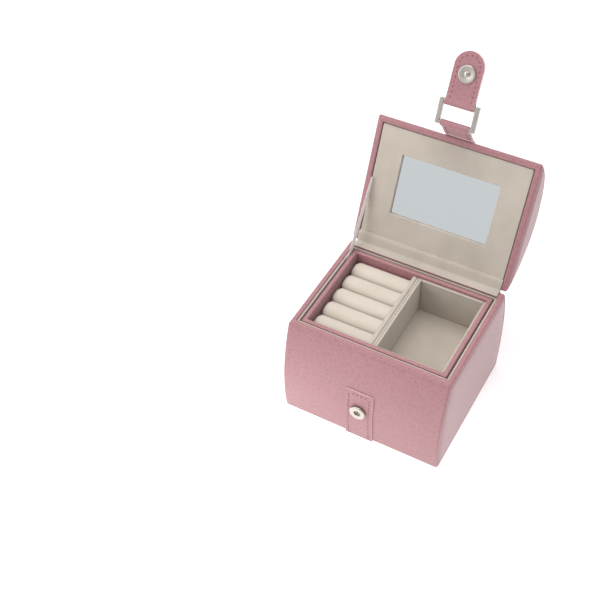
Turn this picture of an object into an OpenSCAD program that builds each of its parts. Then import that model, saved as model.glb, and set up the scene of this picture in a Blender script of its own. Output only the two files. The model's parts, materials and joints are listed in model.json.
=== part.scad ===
// Small leather jewellery case: a box with a domed lid, a lift-out ring tray and a buckled snap strap.
// X runs to the right, Y to the back and Z up. The origin is the centre of the base's underside.
// The case stands open. The lid, the strap and the tray each move on their own joints.

/* [Case] */
// Width of the case, left to right
case_w = 100; // [96:0.5:106]
// Depth of the case at the rim
rim_d = 79; // [76:0.5:84]
// Depth of the case at the base
base_d = 90.2; // [86:0.2:96]
// Height of the body, without the lid
body_h = 67.5; // [65:0.5:74]
// How far the front and back faces swell out from their chord
face_rise = 4.6; // [3:0.2:6]

/* [Lid] */
// Height of the lid's dome above its rim
lid_rise = 26.5; // [22:0.5:30]
// Gap between the two rims when the case is shut
rim_gap = 1; // [1:0.1:2]
// Opening angle of the lid in the stored pose
lid_open = 113; // [100:1:115]
// Width of the mirror window
window_w = 60.5; // [50:0.5:66]
// Depth of the mirror window
window_d = 36.5; // [30:0.5:42]

/* [Walls] */
// Thickness of the leatherette
skin = 0.8; // [0.6:0.1:1]
// Thickness of the boards in the side walls
side_board = 2.4; // [2:0.1:2.6]
// Thickness of the boards in the front and back walls
face_board = 2; // [1.6:0.1:2.4]
// Thickness of the velvet-covered lining card
lining = 1.2; // [1:0.1:1.4]

/* [Tray] */
// Height of the tray
tray_h = 30; // [26:0.5:31]
// Gap between the tray and the lining at its left and right ends
tray_end_gap = 1; // [0.9:0.1:1.4]
// Gap between the tray and the lining at its front and back
tray_face_gap = 0.6; // [0.5:0.1:1]
// Drop from the body's rim to the tray's rim
tray_drop = 1; // [0.8:0.1:2]

/* [Strap] */
// Width of the leather strap
strap_w = 17; // [15:0.5:18]
// Length of the loop, from the lid's edge to the ring's bar
loop_len = 15.8; // [15.6:0.1:16.2]
// Distance between the ring's two bars
ring_len = 12.3; // [12:0.1:12.6]
// Distance from the ring's bar to the snap
snap_len = 16.8; // [16.4:0.1:17]
// Distance from the ring's bar to the strap's round end
tab_len = 29.2; // [28:0.2:30]
// Diameter of the snap's two halves
snap_d = 10; // [9:0.5:11]
// Height of the snap above the base
snap_z = 26.3; // [26:0.1:26.6]

/* [Hidden] */
$fn = 96;

leatherette_pink = "#D3A9AC";
leatherette_deep = "#C4969B";
board_grey = "#9C948A";
velvet_beige = "#C6BCAE";
velvet_cream = "#DDD3C6";
satin_nickel = "#B4B0A8";

half_w = case_w / 2;
side_wall = skin + side_board;
rim_front = rim_d / 2;
lining_gap = 1.6;
lining_y = rim_front - skin - face_board - lining_gap;
lining_x = half_w - side_wall;
inner_x = lining_x - lining;
inner_y = lining_y - lining;
base_board_t = 2;
pad_t = 2.4;
base_t = skin + base_board_t;
pad_top = base_t + pad_t;
rim_t = 0.8;
rim_lap = 0.1;
lining_drop = 1;
lining_top = body_h - lining_drop;
ledge_w = 1.4;
ledge_inset = 0.5;
ledge_gap = 0.2;

// The swollen front and back faces are arcs of one radius.
face_run = (base_d - rim_d) / 2;
face_chord = norm([face_run, body_h]);
face_r = (face_chord * face_chord / 4 + face_rise * face_rise) / (2 * face_rise);
face_cy = (face_r - face_rise) * body_h / face_chord - (rim_d + base_d) / 4;
face_cz = body_h / 2 - (face_r - face_rise) * face_run / face_chord;

// The lid's dome is an arc from the front rim to the back rim.
lid_z = body_h + rim_gap;
lid_r = (rim_front * rim_front + lid_rise * lid_rise) / (2 * lid_rise);
lid_cz = lid_z + lid_rise - lid_r;
lid_rim_t = 1;
lid_rim_lap = 0.6;
lid_back_lap = 1.7;
lid_board = 2;
panel_z = lid_z + lid_rim_t;
panel_t = 1.4;
panel_front = 0.15;
panel_back = 1.2;
mirror_t = 1.4;
mirror_lap = 1.5;
backing_t = 0.8;
backing_lap = 6;
window_y = -1.5;

// The hinge line lies on the back rim, half way up the gap.
hinge_y = rim_front;
hinge_z = body_h + rim_gap / 2;

tray_x = inner_x - tray_end_gap;
tray_y = inner_y - tray_face_gap;
tray_top = body_h - tray_drop;
tray_bottom = tray_top - tray_h;
tray_skin = 0.6;
tray_board = 1.4;
tray_wall = 2 * tray_skin + tray_board;
tray_in_x = tray_x - tray_wall;
tray_in_y = tray_y - tray_wall;
tray_floor_t = 1.6;
tray_floor_z = tray_bottom + tray_skin + tray_floor_t;
divider_w = 4.2;
roll_len = 37.6;
divider_x = -tray_in_x + roll_len;
roll_count = 5;
roll_play = 0.4;
roll_gap = 0.3;
roll_drop = 3.5;
roll_end_gap = 0.2;
bed_gap = 0.2;
roll_pitch = (2 * tray_in_y - roll_play) / roll_count;
roll_r = (roll_pitch - roll_gap) / 2;
roll_z = tray_top - roll_drop - roll_r;
roll_dome = 3;

bar_r = 1;
bar_fit = 0.05;
fold_r = 2.1;
loop_t = 1.6;
loop_gap = 0.5;
tab_t = 2.2;
patch_t = 0.9;
patch_w = 17.5;
patch_top = 41.4;
socket_h = 1.8;
socket_hole_r = 2;
rivet_r = 1.6;
rivet_gap = 0.02;
stud_h = 1;
pin_r = 1.1;
pin_h = 1.4;
stem_r = 1.2;
socket_floor = 0.3;
washer_r = 4;
washer_t = 0.8;

// The strap's pivots: where the loop leaves the lid, and the turn of each piece in the stored pose.
strap_y = -(rim_front + 1);
strap_z = lid_z;
loop_turn = -33;
ring_turn = -201;
tab_turn = -205.5;

stay_x = -inner_x + 0.1;
stay_t = 0.4;
stay_w = 5;
stay_foot = [12.5, 44.5];
stay_lid = 42;
stay_hem = 4;
stay_gap = 0.05;

big = 300;

// Side profile of the body, shrunk by inset, between two heights. It is drawn with Y across and Z up.
module body_profile(inset, low, high) {
  intersection() {
    translate([face_cy, face_cz]) circle(face_r - inset, $fn = 360);
    translate([-face_cy, face_cz]) circle(face_r - inset, $fn = 360);
    translate([-big / 2, low]) square([big, high - low]);
  }
}

// How far forward the front face stands at a height, when it is shrunk by inset.
function front_y(inset, z) = face_cy - sqrt((face_r - inset) * (face_r - inset) - (z - face_cz) * (z - face_cz));

// Side profile of the shut lid's dome, shrunk by inset, above a height.
module lid_profile(inset, low) {
  intersection() {
    translate([0, lid_cz]) circle(lid_r - inset, $fn = 240);
    translate([-big / 2, low]) square([big, big]);
  }
}

// Stretches a side profile along X, from one place to another.
module along_x(from, to) {
  translate([from, 0, 0]) rotate([90, 0, 90]) linear_extrude(to - from) children();
}

// A block from its lowest corner to its highest one.
module block(low, high) {
  translate(low) cube(high - low);
}

module front_half() {
  intersection() {
    children();
    translate([-big, -big]) square([big, 2 * big]);
  }
}

module back_half() {
  intersection() {
    children();
    translate([0, -big]) square([big, 2 * big]);
  }
}

module face_shell(outer, inner, low, high) {
  difference() {
    body_profile(outer, low, high);
    body_profile(inner, low - 1, high + 1);
  }
}

// Turns a piece that is drawn on the shut lid to the lid's stored pose.
module on_lid() {
  translate([0, hinge_y, hinge_z]) rotate([-lid_open, 0, 0]) translate([0, -hinge_y, -hinge_z]) children();
}

// Turns a point of the shut lid's side view to the stored pose.
function lid_point(y, z) =
  let (dy = y - hinge_y, dz = z - hinge_z, a = -lid_open)
  [hinge_y + dy * cos(a) - dz * sin(a), hinge_z + dy * sin(a) + dz * cos(a)];

// The pivots of the strap in the stored pose.
loop_at = lid_point(strap_y, strap_z);
loop_world = loop_turn - lid_open;
ring_at = loop_at + loop_len * [sin(loop_world), -cos(loop_world)];
tab_at = ring_at + ring_len * [sin(ring_turn), -cos(ring_turn)];

module hang_from(pivot, turn) {
  translate([0, pivot[0], pivot[1]]) rotate([turn, 0, 0]) children();
}

// ---- Body ----

module base_board() {
  color(board_grey) along_x(-lining_x, lining_x) body_profile(skin, skin, base_t);
}

module front_board() {
  color(board_grey) difference() {
    along_x(-lining_x, lining_x) front_half() face_shell(skin, skin + face_board, base_t, body_h - rim_t);
    rivet_bore();
  }
}

module back_board() {
  color(board_grey)
    along_x(-lining_x, lining_x) back_half() face_shell(skin, skin + face_board, base_t, body_h - rim_t);
}

module side_wall_board() {
  along_x(lining_x, half_w - skin) body_profile(skin, skin, body_h - rim_t);
}

module left_board() {
  color(board_grey) mirror([1, 0, 0]) side_wall_board();
}

module right_board() {
  color(board_grey) side_wall_board();
}

module base_cover() {
  color(leatherette_pink) along_x(-half_w, half_w) body_profile(0, 0, skin);
}

module front_cover() {
  color(leatherette_pink) difference() {
    along_x(-half_w, half_w) front_half() face_shell(0, skin, skin, body_h - rim_t);
    rivet_bore();
  }
}

module back_cover() {
  color(leatherette_pink) along_x(-half_w, half_w) back_half() face_shell(0, skin, skin, body_h - rim_t);
}

module side_wall_cover() {
  along_x(half_w - skin, half_w) body_profile(skin, skin, body_h - rim_t);
}

module left_cover() {
  color(leatherette_pink) mirror([1, 0, 0]) side_wall_cover();
}

module right_cover() {
  color(leatherette_pink) side_wall_cover();
}

module body_rim() {
  color(leatherette_pink) difference() {
    along_x(-half_w, half_w) body_profile(0, body_h - rim_t, body_h);
    block([-lining_x + rim_lap, -lining_y + rim_lap, body_h - rim_t - 1],
          [lining_x - rim_lap, lining_y - rim_lap, body_h + 1]);
  }
}

module face_lining() {
  block([-inner_x, inner_y, pad_top], [inner_x, lining_y, lining_top]);
}

module front_lining() {
  color(velvet_beige) mirror([0, 1, 0]) face_lining();
}

module back_lining() {
  color(velvet_beige) face_lining();
}

module side_lining() {
  block([inner_x, -lining_y, pad_top], [lining_x, lining_y, lining_top]);
}

module left_lining() {
  color(velvet_beige) mirror([1, 0, 0]) side_lining();
}

module right_lining() {
  color(velvet_beige) side_lining();
}

module ledge() {
  block([inner_x - ledge_w, -inner_y + ledge_inset, pad_top],
        [inner_x, inner_y - ledge_inset, tray_bottom - ledge_gap]);
}

module left_ledge() {
  color(velvet_beige) mirror([1, 0, 0]) ledge();
}

module right_ledge() {
  color(velvet_beige) ledge();
}

module floor_pad() {
  color(velvet_beige) block([-lining_x, -lining_y, base_t], [lining_x, lining_y, pad_top]);
}

// ---- Snap on the front ----

module along_y(at, from, to, radius) {
  translate([at[0], from, at[1]]) rotate([-90, 0, 0]) cylinder(r = radius, h = to - from);
}

module rivet_bore() {
  along_y([0, snap_z], -big / 4, 0, rivet_r);
}

module closure_patch() {
  color(leatherette_deep) difference() {
    along_x(-patch_w / 2, patch_w / 2) front_half() face_shell(-patch_t, 0, 0, patch_top);
    rivet_bore();
  }
}

// The socket's back follows the patch that it is pressed onto.
module snap_socket() {
  seat_y = front_y(-patch_t, snap_z);
  color(satin_nickel) difference() {
    along_y([0, snap_z], seat_y - socket_h, seat_y + 1, snap_d / 2);
    along_x(-big, big) body_profile(-patch_t, 0, body_h);
    along_y([0, snap_z], seat_y - socket_h - 1, seat_y - socket_floor, socket_hole_r);
  }
}

// The rivet's washer sits flat behind the curved board.
module socket_rivet() {
  washer_y = front_y(skin + face_board, snap_z + washer_r);
  color(satin_nickel) union() {
    along_y([0, snap_z], front_y(-patch_t, snap_z) + rivet_gap, washer_y, rivet_r);
    along_y([0, snap_z], washer_y, washer_y + washer_t, washer_r);
  }
}

// ---- Hinge ----

// The spine runs from the body's back to the lid's, round a soft fold at the hinge line.
module hinge_spine() {
  spine_t = 0.6;
  spine_x = half_w - 4;
  on_body = 8;
  on_dome = 6;
  bead_r = 0.55;
  bead = [hinge_y + 0.75, body_h - 0.45];
  color(leatherette_pink) union() {
    along_x(-spine_x, spine_x) back_half() face_shell(-spine_t, 0, body_h - on_body, bead[1]);
    along_x(-spine_x, spine_x) translate(bead) circle(bead_r);
    on_lid() along_x(-spine_x, spine_x) back_half() difference() {
      lid_profile(-spine_t, lid_z);
      lid_profile(0, lid_z - 1);
      translate([0, lid_z + on_dome]) square([big, big]);
    }
  }
}

module hinge_lining() {
  strip_t = 0.4;
  on_body = 0.6;
  on_rim = 2;
  color(velvet_beige) union() {
    block([-lining_x, lining_y - on_body, body_h], [lining_x, hinge_y, body_h + strip_t]);
    on_lid() block([-lining_x, lining_y - on_rim, lid_z - strip_t], [lining_x, hinge_y, lid_z]);
  }
}

// The stay is a flat ribbon from the left lining to the lid, where it is cut off at the panel.
module lid_stay() {
  head = lid_point(hinge_y - stay_lid, lid_z + rim_t);
  run = head - stay_foot;
  color(velvet_cream) difference() {
    translate([stay_x, stay_foot[0], stay_foot[1]]) rotate([atan2(run[1], run[0]), 0, 0])
      translate([0, -stay_hem, -stay_w / 2]) cube([stay_t, norm(run) + stay_hem, stay_w]);
    on_lid() block([-half_w, -half_w, panel_z - stay_gap], [0, half_w, panel_z + lid_rise]);
  }
}

// ---- Lid ----

module lid_crown_board() {
  color(board_grey) on_lid() along_x(-lining_x, lining_x) difference() {
    lid_profile(skin, panel_z);
    lid_profile(skin + lid_board, panel_z - 1);
  }
}

module lid_side_board() {
  on_lid() along_x(lining_x, half_w - skin) lid_profile(skin, panel_z);
}

module lid_left_board() {
  color(board_grey) mirror([1, 0, 0]) lid_side_board();
}

module lid_right_board() {
  color(board_grey) lid_side_board();
}

module lid_cover() {
  color(leatherette_pink) on_lid() along_x(-half_w, half_w) difference() {
    lid_profile(0, panel_z);
    lid_profile(skin, panel_z - 1);
  }
}

module lid_side_cover() {
  on_lid() along_x(half_w - skin, half_w) lid_profile(skin, panel_z);
}

module lid_left_cover() {
  color(leatherette_pink) mirror([1, 0, 0]) lid_side_cover();
}

module lid_right_cover() {
  color(leatherette_pink) lid_side_cover();
}

module lid_rim() {
  color(leatherette_pink) on_lid() difference() {
    along_x(-half_w, half_w) intersection() {
      lid_profile(0, lid_z);
      translate([-big / 2, lid_z]) square([big, lid_rim_t]);
    }
    block([-lining_x + lid_rim_lap, -lining_y, lid_z - 1],
          [lining_x - lid_rim_lap, lining_y - lid_back_lap, panel_z + 1]);
  }
}

module lid_panel() {
  color(velvet_beige) on_lid() difference() {
    block([-lining_x, -lining_y - panel_front, panel_z], [lining_x, lining_y - panel_back, panel_z + panel_t]);
    window(0, panel_z - 1, panel_z + panel_t + 1);
  }
}

// A block the size of the mirror window, grown by a margin.
module window(margin, low, high) {
  block([-window_w / 2 - margin, window_y - window_d / 2 - margin, low],
        [window_w / 2 + margin, window_y + window_d / 2 + margin, high]);
}

module mirror_glass() {
  color("#DDE2E4") on_lid() window(mirror_lap, panel_z + panel_t, panel_z + panel_t + mirror_t);
}

module mirror_backing() {
  backing_z = panel_z + panel_t + mirror_t;
  color(board_grey) on_lid() window(backing_lap, backing_z, backing_z + backing_t);
}

// ---- Strap ----

module strap_anchor() {
  anchor_low = 1;
  anchor_high = 8;
  color(leatherette_deep) on_lid() along_x(-strap_w / 2, strap_w / 2) front_half() difference() {
    lid_profile(-loop_t, lid_z + anchor_low);
    lid_profile(0, lid_z - 1);
    translate([-big / 2, lid_z + anchor_high]) square([big, big]);
  }
}

module bar_cut(at_z) {
  translate([-big / 2, 0, at_z]) rotate([0, 90, 0]) cylinder(r = bar_r + bar_fit, h = big);
}

module fold(at_z) {
  translate([-strap_w / 2, 0, at_z]) rotate([0, 90, 0]) cylinder(r = fold_r, h = strap_w);
}

module strap_loop() {
  color(leatherette_deep) hang_from(loop_at, loop_world) difference() {
    union() {
      block([-strap_w / 2, -loop_t / 2, -loop_len], [strap_w / 2, loop_t / 2, -loop_gap]);
      fold(-loop_len);
    }
    bar_cut(-loop_len);
  }
}

module strap_ring() {
  bar_play = 1.2;
  side_w = 2;
  side_d = 2.4;
  side_over = 0.1;
  bar_x = strap_w / 2 + bar_play;
  color(satin_nickel) hang_from(ring_at, ring_turn) union() {
    for (z = [0, -ring_len])
      translate([-bar_x - side_w / 2, 0, z]) rotate([0, 90, 0]) cylinder(r = bar_r, h = 2 * bar_x + side_w);
    for (side = [-1, 1])
      translate([side * (bar_x + side_w / 2), 0, -ring_len / 2])
        cube([side_w, side_d, ring_len + 2 * bar_r + side_over], center = true);
  }
}

module tab_outline() {
  end_r = strap_w / 2;
  translate([0, -tab_len + end_r]) circle(end_r);
  translate([-end_r, -tab_len + end_r]) square([strap_w, tab_len - end_r]);
}

module strap_tab() {
  color(leatherette_deep) hang_from(tab_at, tab_turn) difference() {
    union() {
      translate([0, tab_t / 2, 0]) rotate([90, 0, 0]) linear_extrude(tab_t) tab_outline();
      fold(0);
    }
    bar_cut(0);
    snap_bore(0, tab_t, stem_r);
    snap_bore(-washer_t / 2, washer_t / 2, washer_r);
  }
}

// A round hole through the tab at the snap, between two depths.
module snap_bore(from, to, radius) {
  translate([0, from, -snap_len]) rotate([-90, 0, 0]) cylinder(r = radius, h = to - from);
}

module snap_stud() {
  color(satin_nickel) hang_from(tab_at, tab_turn) union() {
    snap_bore(washer_t / 2, tab_t / 2, stem_r);
    snap_bore(tab_t / 2, tab_t / 2 + stud_h, snap_d / 2);
    snap_bore(tab_t / 2 + stud_h, tab_t / 2 + stud_h + pin_h, pin_r);
  }
}

// The washer is sewn in between the tab's two layers.
module stud_washer() {
  color(satin_nickel) hang_from(tab_at, tab_turn) snap_bore(-washer_t / 2, washer_t / 2, washer_r);
}

// ---- Tray ----

module tray_face_board() {
  block([-tray_x + tray_skin, tray_in_y + tray_skin, tray_bottom + tray_skin],
        [tray_x - tray_skin, tray_y - tray_skin, tray_top - tray_skin]);
}

module tray_front_board() {
  color(board_grey) mirror([0, 1, 0]) tray_face_board();
}

module tray_back_board() {
  color(board_grey) tray_face_board();
}

module tray_side_board() {
  block([tray_in_x + tray_skin, -tray_in_y - tray_skin, tray_bottom + tray_skin],
        [tray_x - tray_skin, tray_in_y + tray_skin, tray_top - tray_skin]);
}

module tray_left_board() {
  color(board_grey) mirror([1, 0, 0]) tray_side_board();
}

module tray_right_board() {
  color(board_grey) tray_side_board();
}

module tray_floor_board() {
  color(board_grey) block([-tray_in_x, -tray_in_y, tray_bottom + tray_skin], [tray_in_x, tray_in_y, tray_floor_z]);
}

// The leatherette wraps over the top of the boards and down both of their faces.
module tray_cover() {
  color(leatherette_pink) difference() {
    block([-tray_x, -tray_y, tray_bottom + tray_skin], [tray_x, tray_y, tray_top]);
    difference() {
      block([-tray_x + tray_skin, -tray_y + tray_skin, tray_bottom],
            [tray_x - tray_skin, tray_y - tray_skin, tray_top - tray_skin]);
      block([-tray_in_x - tray_skin, -tray_in_y - tray_skin, tray_bottom - 1],
            [tray_in_x + tray_skin, tray_in_y + tray_skin, tray_top]);
    }
    block([-tray_in_x, -tray_in_y, tray_bottom - 1], [tray_in_x, tray_in_y, tray_top + 1]);
  }
}

module tray_base_cover() {
  color(leatherette_pink) block([-tray_x, -tray_y, tray_bottom], [tray_x, tray_y, tray_bottom + tray_skin]);
}

module tray_divider() {
  drop = 1.6;
  color(velvet_beige)
    block([divider_x, -tray_in_y, tray_floor_z], [divider_x + divider_w, tray_in_y, tray_top - drop]);
}

module compartment_lining() {
  wall = 1.6;
  drop = 1.8;
  color(velvet_beige) difference() {
    block([divider_x + divider_w, -tray_in_y, tray_floor_z], [tray_in_x, tray_in_y, tray_top - drop]);
    block([divider_x + divider_w + wall, -tray_in_y + wall, tray_floor_z + wall],
          [tray_in_x - wall, tray_in_y - wall, tray_top]);
  }
}

module roll_bed() {
  color(velvet_cream)
    block([-tray_in_x, -tray_in_y, tray_floor_z], [divider_x, tray_in_y, roll_z - roll_r - bed_gap]);
}

// One foam roll, domed at its left end. The rolls lie side by side from front to back.
module ring_roll(number) {
  y = (number - (roll_count + 1) / 2) * roll_pitch;
  length = divider_x + tray_in_x - 4 * roll_end_gap;
  dome_r = (roll_r * roll_r + roll_dome * roll_dome) / (2 * roll_dome);
  color(velvet_cream) translate([divider_x - roll_end_gap, y, roll_z]) rotate([0, -90, 0]) rotate_extrude()
    union() {
      square([roll_r, length - roll_dome]);
      intersection() {
        translate([0, length - roll_dome - 0.1]) square([roll_r, roll_dome + 1]);
        translate([0, length - dome_r]) circle(dome_r, $fn = 120);
      }
    }
}

base_board();
front_board();
back_board();
left_board();
right_board();
base_cover();
front_cover();
back_cover();
left_cover();
right_cover();
body_rim();
front_lining();
back_lining();
left_lining();
right_lining();
left_ledge();
right_ledge();
floor_pad();
closure_patch();
snap_socket();
socket_rivet();
hinge_spine();
hinge_lining();
lid_stay();
lid_crown_board();
lid_left_board();
lid_right_board();
lid_cover();
lid_left_cover();
lid_right_cover();
lid_rim();
lid_panel();
mirror_glass();  // mirror
mirror_backing();
strap_anchor();
strap_loop();
strap_ring();
strap_tab();
snap_stud();
stud_washer();
tray_front_board();
tray_back_board();
tray_left_board();
tray_right_board();
tray_floor_board();
tray_cover();
tray_base_cover();
tray_divider();
compartment_lining();
roll_bed();
for (number = [1 : roll_count])
  ring_roll(number);
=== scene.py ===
"""Small jewellery case in blush leatherette, with a ring tray and a buckled snap strap.

X runs right, Y back and Z up. The case stands open on a white table.
"""
import json
from math import asin, atan2, copysign, cos, hypot, pi, radians, sin, sqrt

import bmesh
import bpy
from mathutils import Matrix, Vector


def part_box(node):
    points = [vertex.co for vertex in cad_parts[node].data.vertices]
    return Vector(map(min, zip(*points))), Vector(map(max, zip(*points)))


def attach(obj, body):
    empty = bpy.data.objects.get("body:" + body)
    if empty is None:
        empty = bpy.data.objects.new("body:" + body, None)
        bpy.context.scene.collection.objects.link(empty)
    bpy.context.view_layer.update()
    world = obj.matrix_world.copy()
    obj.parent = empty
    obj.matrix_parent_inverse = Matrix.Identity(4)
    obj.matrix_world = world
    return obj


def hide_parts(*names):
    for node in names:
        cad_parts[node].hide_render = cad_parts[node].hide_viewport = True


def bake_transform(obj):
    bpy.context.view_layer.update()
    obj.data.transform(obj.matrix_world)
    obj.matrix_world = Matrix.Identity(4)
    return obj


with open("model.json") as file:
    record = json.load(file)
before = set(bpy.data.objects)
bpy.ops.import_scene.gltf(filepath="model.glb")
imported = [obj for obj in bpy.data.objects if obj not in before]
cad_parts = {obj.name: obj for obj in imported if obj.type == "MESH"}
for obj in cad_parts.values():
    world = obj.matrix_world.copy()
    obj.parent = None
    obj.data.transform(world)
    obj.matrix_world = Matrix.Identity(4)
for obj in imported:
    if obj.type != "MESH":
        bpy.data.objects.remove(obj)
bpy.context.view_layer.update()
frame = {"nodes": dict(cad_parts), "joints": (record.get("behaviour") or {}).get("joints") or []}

# ---- Camera ----
# A short telephoto, which looks down on the open case from its front right corner.
# It leaves table free at the left of the case.
MM = 0.001
camera_turn = radians(30.1)
camera_height = radians(46.11)
camera_roll = radians(-1.376)
camera_distance = 621.6 * MM
camera_target = Vector((-52.2, -21.2, 68)) * MM

camera = bpy.data.objects.new("camera", bpy.data.cameras.new("camera"))
camera.data.lens = 64.79
bpy.context.scene.collection.objects.link(camera)
bpy.context.scene.camera = camera
low_run = cos(camera_height)
sight = Vector((sin(camera_turn) * low_run, -cos(camera_turn) * low_run, sin(camera_height)))
camera.matrix_world = (
    Matrix.Translation(camera_target + sight * camera_distance)
    @ Matrix.Rotation(camera_turn, 4, "Z")
    @ Matrix.Rotation(pi / 2 - camera_height, 4, "X")
    @ Matrix.Rotation(camera_roll, 4, "Z")
)


# ---- Table and light ----
# A white table sheet, wide enough to fill every view, in a white room. It glows with painted light.
# One softbox hangs above the case, and a weaker one stands low at the front left.
def linear(hex_colour):
    """Linear RGBA of an sRGB hex colour."""
    parts = [int(hex_colour[i:i + 2], 16) / 255 for i in (1, 3, 5)]
    return [c / 12.92 if c <= 0.04045 else ((c + 0.055) / 1.055) ** 2.4 for c in parts] + [1]


def add(tree, kind, inputs=None, **settings):
    """Adds a node. An input takes a value, or another node's output to link from."""
    made = tree.nodes.new(kind)
    for name, value in settings.items():
        setattr(made, name, value)
    for name, value in (inputs or {}).items():
        if isinstance(value, bpy.types.NodeSocket):
            tree.links.new(value, made.inputs[name])
        else:
            made.inputs[name].default_value = value
    return made


def new_material(name, **constants):
    """A material with its shader's own sockets set, and its node tree and object coordinates."""
    material = bpy.data.materials.new(name)
    material.use_nodes = True
    shader = material.node_tree.nodes["Principled BSDF"]
    for socket, value in constants.items():
        shader.inputs[socket.replace("_", " ")].default_value = value
    place = add(material.node_tree, "ShaderNodeTexCoord").outputs["Object"]
    return material, material.node_tree, shader, place


# Table sheet: a matt white sheet that glows as painted light, most of all just in front of the case,
# though it is no lamp. Its glow fades outward from there, keeps shadows on it faint, and lifts the feet of
# the walls.
sheet_mottle = 40 * MM
painted_glow_centre = Vector((-60, -120, 0)) * MM
painted_glow_radius = 220 * MM
glowing_table_sheet, tree, shader, place = new_material("table_sheet_painted_glow", Roughness=0.85)
shader.inputs["Specular IOR Level"].default_value = 0.2
shader.inputs["Emission Color"].default_value = linear("#FFFDFB")
# Painted light: the sheet's emitted glow is strongest at the pool's centre in front of the case and fades out
# over its radius.
from_pool = add(tree, "ShaderNodeVectorMath", {0: place, 1: painted_glow_centre}, operation="SUBTRACT")
spread = add(tree, "ShaderNodeVectorMath", {0: from_pool.outputs[0], 3: 1 / painted_glow_radius}, operation="SCALE")
fade = add(tree, "ShaderNodeTexGradient", {"Vector": spread.outputs[0]}, gradient_type="SPHERICAL")
glow = add(tree, "ShaderNodeMapRange", {"Value": fade.outputs["Fac"], "To Min": 0.1, "To Max": 1.3})
tree.links.new(glow.outputs[0], shader.inputs["Emission Strength"])
mottle = add(tree, "ShaderNodeTexNoise", {"Vector": place, "Scale": 1 / sheet_mottle, "Detail": 3})
tone = add(tree, "ShaderNodeMix", {0: mottle.outputs["Fac"], 6: linear("#F6F6F6"), 7: linear("#F9F9F9")},
           data_type="RGBA")
tree.links.new(tone.outputs[2], shader.inputs["Base Color"])

bm = bmesh.new()
bmesh.ops.create_grid(bm, x_segments=1, y_segments=1, size=4)
bmesh.ops.translate(bm, vec=(0, 0, -0.05 * MM), verts=bm.verts)
table_mesh = bpy.data.meshes.new("table")
bm.to_mesh(table_mesh)
bm.free()
table_mesh.materials.append(glowing_table_sheet)
table = bpy.data.objects.new("table", table_mesh)
bpy.context.scene.collection.objects.link(table)

# The white walls are a little dimmer than the ceiling, most of all at the front and left.
ceiling = bpy.data.worlds.new("white_room")
ceiling.use_nodes = True
background = ceiling.node_tree.nodes["Background"]
bright_side = Vector((0.2, 0.1, 0.8)).normalized()
heading = add(ceiling.node_tree, "ShaderNodeTexCoord").outputs["Generated"]
facing = add(ceiling.node_tree, "ShaderNodeVectorMath", {0: heading, 1: bright_side}, operation="DOT_PRODUCT")
white_wash = add(ceiling.node_tree, "ShaderNodeMapRange",
                 {"Value": facing.outputs["Value"], "From Min": -0.6, "To Min": 0.62, "To Max": 0.8})
ceiling.node_tree.links.new(white_wash.outputs[0], background.inputs["Strength"])
background.inputs["Color"].default_value = linear("#FBFCFF")
bpy.context.scene.world = ceiling
bpy.context.scene.view_settings.view_transform = "Standard"


def softbox(name, place, aim, size, power):
    """A square area light that faces a point. Its power is in watts."""
    lamp = bpy.data.objects.new(name, bpy.data.lights.new(name, "AREA"))
    lamp.data.size = size
    lamp.data.energy = power
    lamp.location = place
    lamp.rotation_euler = (Vector(aim) - Vector(place)).to_track_quat("-Z", "Y").to_euler()
    bpy.context.scene.collection.objects.link(lamp)


softbox("softbox_left", (-0.6, -0.55, 0.5), (0, 0, 0.04), 0.6, 3.2)
softbox("softbox_top", (-0.1, 0.2, 1.1), (0, 0, 0.06), 0.9, 8)

# ---- Body leather ----
# Pebbled leatherette, glued round grey board. The front and back sheets wrap the corners and the
# rim, and are tucked in behind the linings. The side sheets lie a little lower, inside a fine crease.
case_x = 50 * MM
rim_y, rim_z = 39.5 * MM, 67.5 * MM
base_y = 45.1 * MM
face_rise = 4.6 * MM
corner_r = 1.7 * MM
rim_opening = (46.75 * MM, -35.05 * MM, 35.05 * MM)
tuck = 1.6 * MM
skin = 0.8 * MM
lip_round = 0.8 * MM
side_crease = 0.65 * MM
side_swell = 0.5 * MM

chord = hypot(base_y - rim_y, rim_z)
face_r = (chord ** 2 / 4 + face_rise ** 2) / (2 * face_rise)
face_reach = (face_r - face_rise) / chord
face_lean = face_reach * (base_y - rim_y)
face_centre = Vector((0, face_reach * rim_z - (rim_y + base_y) / 2, rim_z / 2 - face_lean))
face_sweep = 2 * asin(chord / 2 / face_r)


def face_point(z, proud=0.0):
    """The point of the front face at a height, and so far in front of it."""
    radius = face_r + proud
    return Vector((0, face_centre.y - sqrt(radius ** 2 - (z - face_centre.z) ** 2), z))


def arc(bm, start, centre, angle, steps):
    """A chain of vertices that starts at a point and turns about a line along X."""
    first = bm.verts.new(start)
    bmesh.ops.spin(bm, geom=[first], cent=centre, axis=(1, 0, 0), angle=angle, steps=steps)
    chain = [first]
    while len(chain) <= steps:
        chain.append(next(v for e in chain[-1].link_edges for v in e.verts if v not in chain))
    return chain


def new_verts(made):
    """The vertices among the results of a bmesh operator."""
    return [g for g in made["geom"] if isinstance(g, bmesh.types.BMVert)]


def prism(bm, outline, half_width):
    """Turns an outline in the YZ plane into a solid that runs across X."""
    face = bm.faces.new(outline)
    bmesh.ops.translate(bm, vec=(-half_width, 0, 0), verts=outline)
    made = bmesh.ops.extrude_face_region(bm, geom=[face])
    bmesh.ops.translate(bm, vec=(2 * half_width, 0, 0), verts=new_verts(made))
    bmesh.ops.recalc_face_normals(bm, faces=bm.faces)


def soften(bm, radius, segments, edges=None, angle=radians(40)):
    """Rounds the given edges, or all the sharp ones, and returns the new faces."""
    chosen = edges or [e for e in bm.edges if e.calc_face_angle(0) > angle]
    return bmesh.ops.bevel(bm, geom=chosen, offset=radius, segments=segments, profile=0.5, affect="EDGES",
                           material=-1, clamp_overlap=True)["faces"]


# The sheets that a shell is cut into. A face's material index names its sheet until it is cut out.
UNDER, FRONT, BACK, LEFT, RIGHT, RIM = range(6)


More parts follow.
